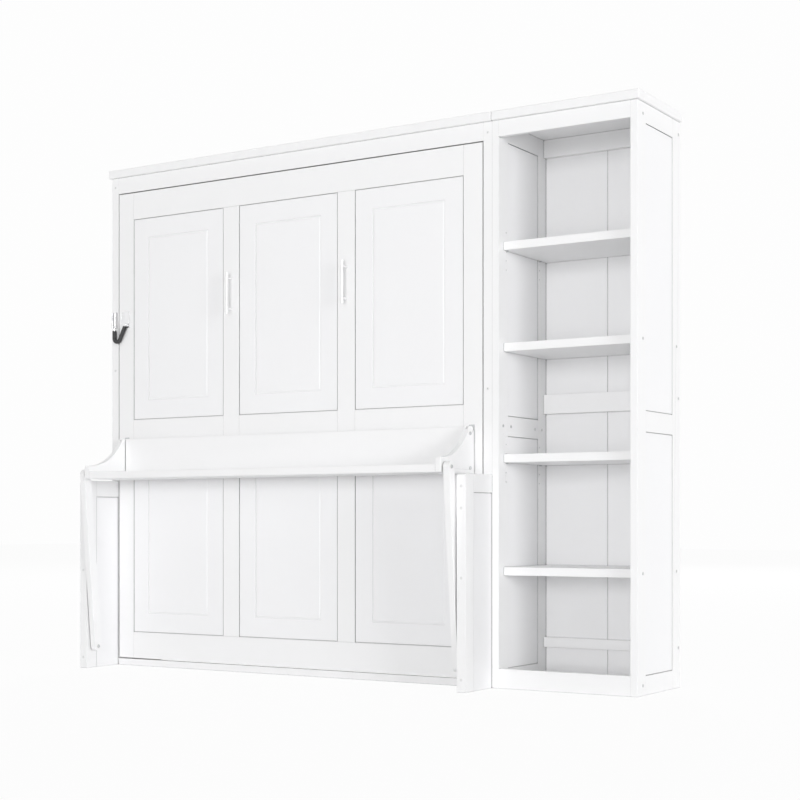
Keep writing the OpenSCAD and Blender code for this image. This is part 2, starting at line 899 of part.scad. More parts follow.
// Bolts at the desk's hinge and at the links' upper ends
module desk_pivot_bolts() {
    color(steel) placed() both_sides() {
        pivot_bolt(desk_hinge, ear_x + ear_t, ear_x + bolt_end, bolt_r);
        pivot_bolt(link_top, link_x + link_t + spacer_gap, ear_x + bolt_end, bolt_r);
    }
}

module desk_fixing_bolts() {
    color(steel) placed() both_sides()
        pivot_bolt([-desk_hinge_out, ear_bolt_z], ear_x + ear_t, ear_x - ear_bolt_l, ear_bolt_r);
}

module link_upper_spacers() {
    color("ivory") placed() both_sides()
        ring_x(link_top, ear_x + ear_t + spacer_gap, link_x - spacer_gap, spacer_r,
               bolt_r + run_gap);
}

// ---------------------------------------------------------------- links

// Slanted board with round ends, bored for its bushes
module link() {
    difference() {
        plate_yz(link_x, link_t) hull() {
            translate(link_low) circle(r = link_w / 2);
            translate(link_top) circle(r = link_w / 2);
        }
        for (p = [link_low, link_top])
            bar_x(p, link_x - 1, link_x + link_t + 1, bolt_r + run_gap + bush_wall);
    }
}

module link_bushes() {
    for (p = [link_low, link_top])
        ring_x(p, link_x, link_x + link_t, bolt_r + run_gap + bush_wall, bolt_r + run_gap);
}

module link_left() {
    color(paint) placed() mirror([1, 0, 0]) link();
}

module link_left_bushes() {
    color("ivory") placed() mirror([1, 0, 0]) link_bushes();
}

module link_right() {
    color(paint) placed() link();
}

module link_right_bushes() {
    color("ivory") placed() link_bushes();
}

// ---------------------------------------------------------------- latch

// Keeper on the cabinet's left stile: a plate with two cheeks, open at the front and below
module latch_keeper() {
    cheek = (keeper_w - keeper_slit) / 2;
    color(paint) placed() {
        block([keeper_x - keeper_w / 2, -latch_plate_t, latch_z],
              [keeper_x + keeper_w / 2, 0, latch_z + latch_h]);
        for (x = [keeper_x - keeper_w / 2, keeper_x + keeper_slit / 2])
            block([x, -keeper_d, latch_z], [x + cheek, -latch_plate_t, latch_z + latch_h]);
    }
}

// Plate on the door with the stud that the hook turns on
module latch_bracket() {
    color(paint) placed() {
        block([stud_x - bracket_w * 0.7, -latch_plate_t, latch_z],
              [stud_x + bracket_w * 0.3, 0, latch_z + latch_h]);
        bar_y(stud_x, stud_z, hook_y - eye_t / 2 - 0.5, -latch_plate_t, stud_r);
        bar_y(stud_x, stud_z, hook_y - eye_t / 2 - 3, hook_y - eye_t / 2 - 0.5, eye_r - 1);
        bar_y(stud_x, stud_z, hook_y + eye_t / 2 + 0.5, -latch_plate_t, eye_r - 1);
    }
}

// Straight length of round bar, or of tube where bore is given, between two points [X, Z]
module hook_bar(a, b, r, bore = 0) {
    d = b - a;
    translate([a[0], hook_y, a[1]]) rotate([0, atan2(d[0], d[1]), 0])
        linear_extrude(norm(d)) hook_section(r, bore);
}

module hook_section(r, bore) {
    difference() {
        circle(r = r);
        if (bore > 0) circle(r = bore);
    }
}

// The bend between the hook's two legs
module hook_bend(r, bore = 0) {
    translate([bend_c[0], hook_y, bend_c[1]]) rotate([90, 0, 0])
        rotate([0, 0, -180]) rotate_extrude(angle = 180 + hook_turn)
            translate([hook_bend_r, 0]) hook_section(r, bore);
}

bend_end = bend_c + hook_bend_r * [cos(hook_turn), sin(hook_turn)];
leg_dir = ([stud_x, stud_z] - bend_end) / norm([stud_x, stud_z] - bend_end);

// Rod and sleeve are each three lengths that meet in hairline joints, inside the sleeve
hook_joint = 0.05;

module latch_hook_rod() {
    color("dimgray") placed() {
        hook_bar([keeper_x, bend_c[1] + hook_joint], [keeper_x, hook_tip_z], hook_r);
        hook_bend(hook_r);
        difference() {
            union() {
                hook_bar(bend_end + hook_joint * leg_dir, [stud_x, stud_z], hook_r);
                bar_y(stud_x, stud_z, hook_y - eye_t / 2, hook_y + eye_t / 2, eye_r);
            }
            bar_y(stud_x, stud_z, hook_y - eye_t, hook_y + eye_t, stud_r + run_gap);
        }
    }
}

module latch_hook_sleeve() {
    color("black") placed() {
        hook_bar([keeper_x, bend_c[1] + hook_joint], [keeper_x, sleeve_top_z], sleeve_r, hook_r);
        hook_bend(sleeve_r, hook_r);
        hook_bar(bend_end + hook_joint * leg_dir, [stud_x, stud_z] - (eye_r + 1) * leg_dir,
                 sleeve_r, hook_r);
    }
}

left_side_frame();
left_side_panels();
right_side_frame();
right_side_panels();
left_wing_frame();
right_wing_frame();
wing_panels();
crown_boards();
bed_header_rail();
threshold_rail();
bed_back_rails();
bookcase_left_frame();
bookcase_left_panels();
bookcase_right_frame();
bookcase_right_panels();
bookcase_header_rail();
bookcase_base_rail();
bookcase_back_boards();
bookcase_back_rails();
shelf_1();
shelf_2();
shelf_3();
shelf_4();
shelf_pins();
corner_blocks();
cabinet_screw_caps();
bookcase_screw_caps();
joining_bolts();
cabinet_pivot_plates();
pivot_spacers();
link_lower_bolts();
latch_keeper();
door_stiles();
door_rails();
door_upper_panels();
door_lower_panels();
handle_left();
handle_right();
bed_side_rails();
bed_end_rails();
slat_ledges();
bed_centre_beam();
bed_slats();
bed_pivot_sockets();
desk_hinge_brackets();
latch_bracket();
desk_top();
desk_back_board();
desk_ear_left();
desk_ear_right();
desk_pivot_bolts();
desk_fixing_bolts();
link_upper_spacers();
link_left();
link_left_bushes();
link_right();
link_right_bushes();
latch_hook_rod();
latch_hook_sleeve();
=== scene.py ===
"""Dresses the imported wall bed: painted joinery, routed panels, metalware, light and camera."""

from __future__ import annotations

import json
import logging
import math
from collections.abc import Callable, Iterable, Iterator
from dataclasses import dataclass, field
from enum import Enum

import bmesh
import bpy
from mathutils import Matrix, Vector

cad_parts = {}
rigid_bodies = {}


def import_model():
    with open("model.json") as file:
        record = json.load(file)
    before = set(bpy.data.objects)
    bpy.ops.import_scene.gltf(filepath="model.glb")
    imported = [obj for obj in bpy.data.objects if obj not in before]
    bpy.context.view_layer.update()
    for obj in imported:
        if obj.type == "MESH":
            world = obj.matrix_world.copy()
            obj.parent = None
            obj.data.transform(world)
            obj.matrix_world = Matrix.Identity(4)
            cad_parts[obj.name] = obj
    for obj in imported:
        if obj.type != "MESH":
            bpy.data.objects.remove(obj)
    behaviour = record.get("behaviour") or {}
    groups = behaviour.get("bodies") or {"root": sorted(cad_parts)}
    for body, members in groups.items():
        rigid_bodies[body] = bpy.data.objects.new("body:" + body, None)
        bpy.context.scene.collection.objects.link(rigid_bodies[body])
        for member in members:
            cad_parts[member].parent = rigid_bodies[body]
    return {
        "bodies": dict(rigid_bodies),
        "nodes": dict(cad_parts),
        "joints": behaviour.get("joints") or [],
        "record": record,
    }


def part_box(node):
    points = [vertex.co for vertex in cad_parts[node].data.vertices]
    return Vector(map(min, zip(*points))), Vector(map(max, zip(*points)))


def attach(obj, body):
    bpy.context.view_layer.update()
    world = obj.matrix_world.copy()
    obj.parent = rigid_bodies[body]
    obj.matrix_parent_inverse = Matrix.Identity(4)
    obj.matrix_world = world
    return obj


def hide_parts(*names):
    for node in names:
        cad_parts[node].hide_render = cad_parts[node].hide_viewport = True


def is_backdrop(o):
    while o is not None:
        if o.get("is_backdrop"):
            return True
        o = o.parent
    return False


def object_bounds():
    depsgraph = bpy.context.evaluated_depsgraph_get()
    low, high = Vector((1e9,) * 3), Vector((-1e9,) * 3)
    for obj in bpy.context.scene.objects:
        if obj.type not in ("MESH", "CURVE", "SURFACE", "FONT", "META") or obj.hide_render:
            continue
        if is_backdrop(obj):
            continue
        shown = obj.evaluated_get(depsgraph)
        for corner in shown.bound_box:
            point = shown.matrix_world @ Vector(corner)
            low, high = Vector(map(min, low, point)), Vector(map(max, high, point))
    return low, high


LOG = logging.getLogger("wall_bed")
MM = 0.001
CABINET_ORIGIN = Vector((0.300, 0.074, 0.0))  # the row's origin from the middle of the door, in metres
WHITE = (1.0, 1.0, 1.0, 1.0)
MERGE_DISTANCE = 2e-6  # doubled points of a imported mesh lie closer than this, in metres
FLAT_ANGLE = math.radians(0.3)  # faces that meet at less than this are one flat face
SHARP_ANGLE = math.radians(40)  # edges that meet at more than this are eased
FLAT_WEIGHT = 100  # how firmly a large face keeps its normal beside an eased edge
MIX_FIRST, MIX_SECOND, MIX_RESULT = 6, 7, 2  # the colour sockets of a mix node
RANDOM_LOW, RANDOM_HIGH, RANDOM_RESULT = 2, 3, 1  # the number sockets of a random value node


def place(x: float, y: float, z: float) -> Vector:
    """Turns a point in the cabinet's own millimetres into the row's frame, in metres.

    Args:
        x: Millimetres to the right of the middle of the bed cabinet.
        y: Millimetres behind the door's face.
        z: Millimetres above the floor.

    Returns:
        The point in the row's frame.
    """
    return Vector((x, y, z)) * MM - CABINET_ORIGIN


def islands(items: Iterable, near_of: Callable[[object], Iterable]) -> Iterator[list]:
    """Sorts the faces or points of a mesh into groups that hang together.

    Args:
        items: The faces or points.
        near_of: Gives the neighbours of one of them.

    Yields:
        The members of each group.
    """
    seen = set()
    for first in items:
        if first in seen:
            continue
        group, queue = [], [first]
        seen.add(first)
        while queue:
            item = queue.pop()
            group.append(item)
            for near in near_of(item):
                if near not in seen:
                    seen.add(near)
                    queue.append(near)
        yield group


def show(name: str, data: bpy.types.ID) -> bpy.types.Object:
    """Makes an object of a mesh, lamp or camera and puts it into the scene.

    Args:
        name: The object's name.
        data: What it holds.

    Returns:
        The new object.
    """
    made = bpy.data.objects.new(name, data)
    bpy.context.scene.collection.objects.link(made)
    return made


class Grain(Enum):
    """The direction in which a board's grain runs."""

    ACROSS = 0
    DEEP = 1
    UP = 2


class Facing(Enum):
    """The direction that a screw head looks in."""

    ROOM = (0.0, -1.0, 0.0)
    RIGHT = (1.0, 0.0, 0.0)


# ---------------------------------------------------------------- materials


@dataclass(frozen=True)
class Noise:
    """The settings of a noise texture."""

    scale: float
    detail: float
    rough: float = 0.5


class Graph:
    """Shorthand for filling a node tree."""

    def __init__(self, tree: bpy.types.NodeTree) -> None:
        """Takes the tree that the nodes go into.

        Args:
            tree: The node tree of a material, the world or a modifier.
        """
        self.tree = tree

    def add(self, kind: str, values: dict | None = None, **settings: object) -> bpy.types.Node:
        """Adds one node.

        Args:
            kind: Blender's name for the node type.
            values: Input name or number to its value, or to the output that feeds it.
            **settings: The node's own properties.

        Returns:
            The new node.
        """
        node = self.tree.nodes.new(kind)
        for name, value in settings.items():
            setattr(node, name, value)
        for key, value in (values or {}).items():
            if isinstance(value, bpy.types.NodeSocket):
                self.join(value, node.inputs[key])
            else:
                node.inputs[key].default_value = value
        return node

    def join(self, start: bpy.types.NodeSocket, end: bpy.types.NodeSocket) -> None:
        """Links an output to an input."""
        self.tree.links.new(start, end)

    def stretched(self, grain: Grain, along: float) -> bpy.types.NodeSocket:
        """Object coordinates that are stretched along the grain.

        Args:
            grain: The direction of the grain.
            along: Scale along the grain, under 1 to stretch.

        Returns:
            The socket that carries the coordinates.
        """
        scale = [1.0, 1.0, 1.0]
        scale[grain.value] = along
        coords = self.add("ShaderNodeTexCoord")
        mapping = self.add("ShaderNodeMapping", {"Scale": scale, "Vector": coords.outputs["Object"]})
        return mapping.outputs["Vector"]

    def noise(self, coords: bpy.types.NodeSocket, noise: Noise) -> bpy.types.NodeSocket:
        """A noise value at the given coordinates."""
        node = self.add("ShaderNodeTexNoise", {"Vector": coords, "Scale": noise.scale,
                                               "Detail": noise.detail, "Roughness": noise.rough})
        return node.outputs["Fac"]

    def weighed(self, value: bpy.types.NodeSocket, share: float,
                base: bpy.types.NodeSocket) -> bpy.types.NodeSocket:
        """A share of one value, added to another."""
        node = self.add("ShaderNodeMath", {0: value, 1: share, 2: base}, operation="MULTIPLY_ADD")
        return node.outputs[0]

    def ramp(self, value: bpy.types.NodeSocket, span: tuple[float, float], first: Iterable[float],
             last: Iterable[float]) -> bpy.types.NodeSocket:
        """Turns a value into a colour between two colours.

        Args:
            value: The value.
            span: The values that give the first and the last colour.
            first: The first colour's red, green and blue.
            last: The last colour's red, green and blue.

        Returns:
            The socket with the colour.
        """
        node = self.add("ShaderNodeValToRGB", {"Fac": value})
        for stop, position, colour in zip(node.color_ramp.elements, span, (first, last)):
            stop.position = position
            stop.color = (*colour, 1.0)
        return node.outputs["Color"]

    def mapped(self, value: bpy.types.NodeSocket, ends: tuple[float, float],
               span: tuple[float, float] = (0.0, 1.0)) -> bpy.types.NodeSocket:
        """Moves a value from one span to another.

        Args:
            value: The value.
            ends: The ends of the span that it goes to.
            span: The ends of the span that it comes from.

        Returns:
            The socket with the result.
        """
        node = self.add("ShaderNodeMapRange", {"Value": value, "From Min": span[0], "From Max": span[1],
                                               "To Min": ends[0], "To Max": ends[1]})
        return node.outputs["Result"]

    def bump(self, height: bpy.types.NodeSocket, strength: float, depth: float) -> bpy.types.Node:
        """A bump node that is fed with a height."""
        return self.add("ShaderNodeBump", {"Height": height, "Strength": strength, "Distance": depth})


def cleared(tree: bpy.types.NodeTree) -> Graph:
    """Empties a node tree and gives its graph."""
    tree.nodes.clear()
    return Graph(tree)


def blank_material(name: str) -> tuple[bpy.types.Material, Graph, bpy.types.Node]:
    """Makes a material with nothing but a shader and its output.

    Args:
        name: The material's name.

    Returns:
        The material, its graph and its Principled BSDF node.
    """
    material = bpy.data.materials.new(name)
    material.use_nodes = True
    graph = cleared(material.node_tree)
    shader = graph.add("ShaderNodeBsdfPrincipled")
    graph.add("ShaderNodeOutputMaterial", {"Surface": shader.outputs["BSDF"]})
    return material, graph, shader


@dataclass(frozen=True)
class Paint:
    """Smooth satin paint on planed wood: the grain just shows, and narrow gaps and inner corners are
    darkened with painted shade.

    Depths and the reach of the painted shade are in metres, and scales are per metre.
    """

    name: str
    colour: tuple[float, float, float]
    shade: float = 0.985
    rough: tuple[float, float] = (0.40, 0.50)
    gloss: float = 0.35
    grain_depth: float = 0.00012
    peel_depth: float = 0.00004
    bump_strength: float = 0.5
    # The painted shade in gaps and inner corners: its reach, darkest factor, occlusion span and rays.
    painted_shade_reach: float = 0.008
    painted_shade_darkest: float = 0.35
    painted_shade_span: tuple[float, float] = (0.15, 0.75)
    painted_shade_rays: int = 8
    fibre_stretch: float = 0.06
    cloud_stretch: float = 0.5
    fibre: Noise = Noise(160.0, 5.0, 0.6)
    cloud: Noise = Noise(5.0, 2.0)
    peel: Noise = Noise(700.0, 1.0)
    fibre_share: float = 0.35
    tone_span: tuple[float, float] = (0.35, 0.95)

    def material(self, grain: Grain) -> bpy.types.Material:
        """Builds the paint for boards whose grain runs one way.

        Args:
            grain: The direction of the grain.

        Returns:
            The material.
        """
        material, graph, shader = blank_material(f"{self.name}_{grain.name.lower()}")
        even = graph.stretched(grain, self.cloud_stretch)
        fibres = graph.noise(graph.stretched(grain, self.fibre_stretch), self.fibre)
        tone = graph.weighed(fibres, self.fibre_share, graph.noise(even, self.cloud))
        shaded = [c * self.shade for c in self.colour]
        colour = graph.ramp(tone, self.tone_span, shaded, self.colour)
        graph.join(self.with_painted_shade(graph, colour), shader.inputs["Base Color"])
        graph.join(graph.mapped(fibres, self.rough), shader.inputs["Roughness"])
        grain_bump = graph.bump(fibres, self.bump_strength, self.grain_depth)
        peel_bump = graph.bump(graph.noise(even, self.peel), self.bump_strength, self.peel_depth)
        graph.join(grain_bump.outputs["Normal"], peel_bump.inputs["Normal"])
        graph.join(peel_bump.outputs["Normal"], shader.inputs["Normal"])
        shader.inputs["Specular IOR Level"].default_value = self.gloss
        return material

    def with_painted_shade(self, graph: Graph, colour: bpy.types.NodeSocket) -> bpy.types.NodeSocket:
        """Paints shade into a colour in gaps and inner corners, found by an ambient occlusion node.

        Args:
            graph: The material's graph.
            colour: The colour without the painted shade.

        Returns:
            The socket with the colour darkened by painted shade.
        """
        # Painted shade: the colour is darkened where other surfaces lie within reach, as in gaps and inner
        # corners.
        near = graph.add("ShaderNodeAmbientOcclusion", {"Distance": self.painted_shade_reach},
                         samples=self.painted_shade_rays)
        shade_factor = graph.mapped(near.outputs["AO"], (self.painted_shade_darkest, 1.0), self.painted_shade_span)
        mixed = graph.add("ShaderNodeMix", {"Factor": 1.0, MIX_FIRST: colour, MIX_SECOND: shade_factor},
                          data_type="RGBA", blend_type="MULTIPLY")
        return mixed.outputs[MIX_RESULT]


@dataclass(frozen=True)
class PlanedWood:
    """Unpainted softwood with growth lines and pores, whose depth is in metres."""

    name: str
    light: tuple[float, float, float]
    dark: tuple[float, float, float]
    rough: float = 0.62
    grain_stretch: float = 0.05
    ring_scale: float = 14.0
    ring_distortion: float = 7.0
    ring_detail: float = 3.0
    ring_detail_scale: float = 1.4
    pore: Noise = Noise(240.0, 4.0)
    pore_share: float = 0.5
    pore_depth: float = 0.0002
    bump_strength: float = 0.6
    tone_span: tuple[float, float] = (0.2, 0.96)

    def material(self, grain: Grain) -> bpy.types.Material:
        """Builds the wood for boards whose grain runs one way.

        Args:
            grain: The direction of the grain.

        Returns:
            The material.
        """
        material, graph, shader = blank_material(f"{self.name}_{grain.name.lower()}")
        along = graph.stretched(grain, self.grain_stretch)
        rings = graph.add("ShaderNodeTexWave", {
            "Vector": along, "Scale": self.ring_scale, "Distortion": self.ring_distortion,
            "Detail": self.ring_detail, "Detail Scale": self.ring_detail_scale}, wave_type="RINGS")
        pores = graph.noise(along, self.pore)
        tone = graph.weighed(pores, self.pore_share, rings.outputs["Fac"])
        colour = graph.ramp(tone, self.tone_span, self.light, self.dark)
        graph.join(colour, shader.inputs["Base Color"])
        bump = graph.bump(pores, self.bump_strength, self.pore_depth)
        graph.join(bump.outputs["Normal"], shader.inputs["Normal"])
        shader.inputs["Roughness"].default_value = self.rough
        return material


@dataclass(frozen=True)
class Metalware:
    """Metal, nylon or rubber with a fine texture of its own, whose depth is in metres."""

    name: str
    colour: tuple[float, float, float]
    metallic: float
    rough: tuple[float, float]
    texture_scale: float
    texture_depth: float
    drawn_along: float = 1.0
    variation: float = 0.06
    texture_detail: float = 3.0
    cloud: Noise = Noise(25.0, 2.0)
    tone_span: tuple[float, float] = (0.3, 0.7)
    bump_strength: float = 0.6

    def material(self, grain: Grain) -> bpy.types.Material:
        """Builds the material.

        Args:
            grain: The direction in which the surface is brushed, where it is.

        Returns:
            The material.
        """
        material, graph, shader = blank_material(f"{self.name}_{grain.name.lower()}")
        coords = graph.stretched(grain, self.drawn_along)
        fine = graph.noise(coords, Noise(self.texture_scale, self.texture_detail))
        darker = [c * (1 - self.variation) for c in self.colour]
        colour = graph.ramp(graph.noise(coords, self.cloud), self.tone_span, darker, self.colour)
        graph.join(colour, shader.inputs["Base Color"])
        graph.join(graph.mapped(fine, self.rough), shader.inputs["Roughness"])
        bump = graph.bump(fine, self.bump_strength, self.texture_depth)
        graph.join(bump.outputs["Normal"], shader.inputs["Normal"])
        shader.inputs["Metallic"].default_value = self.metallic
        return material


Finish = Paint | PlanedWood | Metalware

FINISHES: dict[str, Finish] = {
    "painted_wood": Paint("white_paint", (0.95, 0.95, 0.955)),
    # The panels get lighter painted shade in their gaps and corners than the frames.
    "painted_panel": Paint("panel_paint", (0.95, 0.95, 0.96), painted_shade_darkest=0.55),
    "back_board": Paint("board_lacquer", (0.93, 0.93, 0.938), grain_depth=0.00005),
    "white_metal": Metalware(
        "white_coat", (0.93, 0.93, 0.935), metallic=0.0, rough=(0.32, 0.42),
        texture_scale=900.0, texture_depth=0.00005, variation=0.02),
    "pale_wood": PlanedWood("pine", light=(0.80, 0.64, 0.43), dark=(0.60, 0.42, 0.24)),
    "steel": Metalware(
        "zinc_steel", (0.66, 0.67, 0.68), metallic=1.0, rough=(0.28, 0.42),
        texture_scale=420.0, texture_depth=0.00002, drawn_along=0.15),
    "cap": Metalware(
        "nickel_cap", (0.84, 0.84, 0.84), metallic=1.0, rough=(0.35, 0.50),
        texture_scale=500.0, texture_depth=0.00002),
    "dark_cap": Metalware(
        "dark_nickel_cap", (0.68, 0.68, 0.68), metallic=1.0, rough=(0.35, 0.50),
        texture_scale=500.0, texture_depth=0.00002),
    "bush": Metalware(
        "nylon", (0.80, 0.78, 0.72), metallic=0.0, rough=(0.45, 0.55),
        texture_scale=500.0, texture_depth=0.00003),
    "rod_steel": Metalware(
        "chrome", (0.86, 0.86, 0.87), metallic=1.0, rough=(0.10, 0.18),
        texture_scale=400.0, texture_depth=0.00001, drawn_along=0.2),
    "sleeve": Metalware(
        "rubber_sleeve", (0.045, 0.045, 0.047), metallic=0.0, rough=(0.55, 0.72),
        texture_scale=650.0, texture_depth=0.00010, variation=0.25),
}


class Wardrobe:
    """Hands out the materials, each built once for each direction of grain."""

    def __init__(self) -> None:
        """Starts with no material built."""
        self.made: dict[tuple[str, Grain], bpy.types.Material] = {}

    def get(self, slot: str, grain: Grain) -> bpy.types.Material:
        """Gives the material of a slot for one direction of grain.

        Args:
            slot: The record's material slot.
            grain: The direction of the grain.

        Returns:
            The material.
        """
        key = (slot, grain)
        if key not in self.made:
            self.made[key] = FINISHES[slot].material(grain)
        return self.made[key]

    def three(self, slot: str) -> list[bpy.types.Material]:
        """The slot's materials for all three directions, in the order of Grain."""
        return [self.get(slot, grain) for grain in Grain]


# ---------------------------------------------------------------- workshop


@dataclass
class Workshop:
    """The loaded frame, with the lists that say where each node belongs."""

    frame: dict
    wardrobe: Wardrobe = field(default_factory=Wardrobe)

    def __post_init__(self) -> None:
        """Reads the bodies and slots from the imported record."""
        record = self.frame["record"]
        self.body_of = {n: b for b, names in record["behaviour"]["bodies"].items() for n in names}
        self.slot_of = {s["node"]: s["material_slot"] for s in record["subparts"]}

    def copy_of(self, node: str) -> bmesh.types.BMesh:
        """Copies a CAD node's mesh, with its doubled points merged and its flat faces made whole.

        Args:
            node: The CAD node's name.

        Returns:
            The copy, as a BMesh.
        """
        mesh = bmesh.new()
        mesh.from_mesh(self.frame["nodes"][node].data)
        bmesh.ops.remove_doubles(mesh, verts=mesh.verts, dist=MERGE_DISTANCE)
        bmesh.ops.dissolve_limit(mesh, angle_limit=FLAT_ANGLE, verts=mesh.verts, edges=mesh.edges)
        return mesh

    def publish(self, mesh: bmesh.types.BMesh, name: str, slot: str) -> bpy.types.Object:
        """Makes an object of a mesh, with each board's grain along its longest side.

        Args:
            mesh: The finished mesh, in the row's frame. It is freed.
            name: The new object's name.
            slot: The record's material slot.

        Returns:
            The new object.
        """
        self.run_grain(mesh)
        for face in mesh.faces:
            face.smooth = True
        data = bpy.data.meshes.new(name)
        mesh.to_mesh(data)
        mesh.free()
        for material in self.wardrobe.three(slot):
            data.materials.append(material)
        return show(name, data)

    @staticmethod
    def run_grain(mesh: bmesh.types.BMesh) -> None:
        """Gives each separate board of a mesh the material whose grain runs along it.

        Args:
            mesh: The mesh, whose faces get their material numbers.
        """
        for board in islands(mesh.faces, lambda face: (f for e in face.edges for f in e.link_faces)):
            points = [v.co for face in board for v in face.verts]
            spans = [max(p[i] for p in points) - min(p[i] for p in points) for i in range(3)]
            for face in board:
                face.material_index = spans.index(max(spans))

    def hang(self, piece: bpy.types.Object, *nodes: str) -> None:
        """Lets a piece stand for its CAD nodes and ride on their body.

        Args:
            piece: The piece.
            *nodes: The CAD nodes that it stands for.
        """
        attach(piece, self.body_of[nodes[0]])
        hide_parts(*nodes)
        LOG.info("%s stands for %s", piece.name, ", ".join(nodes))

    def ease_edges(self, node: str, width: float, steps: int = 2) -> None:
        """Stands a copy with eased edges in for a CAD node.

        Args:
            node: The CAD node's name.
            width: The width of the eased edge, in millimetres.
            steps: The number of faces across it.
        """
        piece = self.publish(self.copy_of(node), f"{node}_eased", self.slot_of[node])
        bevel = piece.modifiers.new("eased_edges", "BEVEL")
        bevel.width = width * MM
        bevel.segments = steps
        bevel.limit_method = "ANGLE"
        bevel.angle_limit = SHARP_ANGLE
        bevel.use_clamp_overlap = False
        flat = piece.modifiers.new("flat_faces", "WEIGHTED_NORMAL")
        flat.weight = FLAT_WEIGHT
        self.hang(piece, node)

    def coat(self, node: str) -> None:
        """Gives a CAD node that stays its procedural material.

        Args:
            node: The CAD node's name.
        """
        piece = self.frame["nodes"][node]
        material = self.wardrobe.get(self.slot_of[node], Grain.UP)
        if not piece.material_slots:
            piece.data.materials.append(material)
        for slot in piece.material_slots:
            slot.material = material
        LOG.info("%s coated with %s", node, material.name)


def points_object(name: str, spots: list[tuple[Vector, Facing]]) -> bpy.types.Object:
    """Makes a mesh of loose points that remember which way they face.

    Args:
        name: The object's name.
        spots: Each point in the row's frame, and its direction.

    Returns:
        The object.
    """
    data = bpy.data.meshes.new(name)
    data.from_pydata([spot for spot, _ in spots], [], [])
    facing = data.attributes.new("facing", "FLOAT_VECTOR", "POINT")
    for item, (_, way) in zip(facing.data, spots):
        item.vector = way.value
    return show(name, data)


def grow(piece: bpy.types.Object, tree: bpy.types.NodeTree, values: dict[str, object]) -> bpy.types.Object:
    """Runs a geometry tree on an object and keeps its result as a plain mesh.

    Args:
        piece: The object that carries the input geometry.
        tree: The geometry node group.
        values: The name of an input of the group to its value.

    Returns:
        A new object with the finished mesh. The input object is removed.
    """
    modifier = piece.modifiers.new("grown", "NODES")
    modifier.node_group = tree
    sockets = {item.name: item.identifier for item in tree.interface.items_tree
               if item.item_type == "SOCKET" and item.in_out == "INPUT"}
    for name, value in values.items():
        modifier[sockets[name]] = value
    bpy.context.view_layer.update()
    graph = bpy.context.evaluated_depsgraph_get()
    data = bpy.data.meshes.new_from_object(piece.evaluated_get(graph), depsgraph=graph)
    name = piece.name
    piece.modifiers.remove(modifier)
    bpy.data.objects.remove(piece)
    return show(name, data)


class GrowingGraph(Graph):
    """A geometry node group with named inputs that ends in coated copies."""

    def __init__(self, name: str, inputs: list[tuple[str, str, object]]) -> None:
        """Starts the group.

        Args:
            name: The group's name.
            inputs: For each input its name, socket type and default value.
        """
        super().__init__(bpy.data.node_groups.new(name, "GeometryNodeTree"))
        face = self.tree.interface
        face.new_socket("Geometry", in_out="INPUT", socket_type="NodeSocketGeometry")
        for title, kind, value in inputs:
            face.new_socket(title, in_out="INPUT", socket_type=kind).default_value = value
        face.new_socket("Material", in_out="INPUT", socket_type="NodeSocketMaterial")
        face.new_socket("Geometry", in_out="OUTPUT", socket_type="NodeSocketGeometry")
        self.given = self.add("NodeGroupInput").outputs

    def finish(self, points: bpy.types.NodeSocket, copy: bpy.types.NodeSocket,
               turn: dict[str, bpy.types.NodeSocket]) -> bpy.types.NodeTree:
        """Puts a coated copy on every point and closes the group.

        Args:
            points: The points.
            copy: The geometry that goes on each of them.
            turn: The rotation input with what feeds it, or nothing.

        Returns:
            The node group.
        """
        spread = self.add("GeometryNodeInstanceOnPoints", {"Points": points, "Instance": copy, **turn})
        real = self.add("GeometryNodeRealizeInstances", {"Geometry": spread.outputs["Instances"]})
        coat = self.add("GeometryNodeSetMaterial", {"Geometry": real.outputs["Geometry"],
                                                    "Material": self.given["Material"]})
        self.add("NodeGroupOutput", {"Geometry": coat.outputs["Geometry"]})
        return self.tree


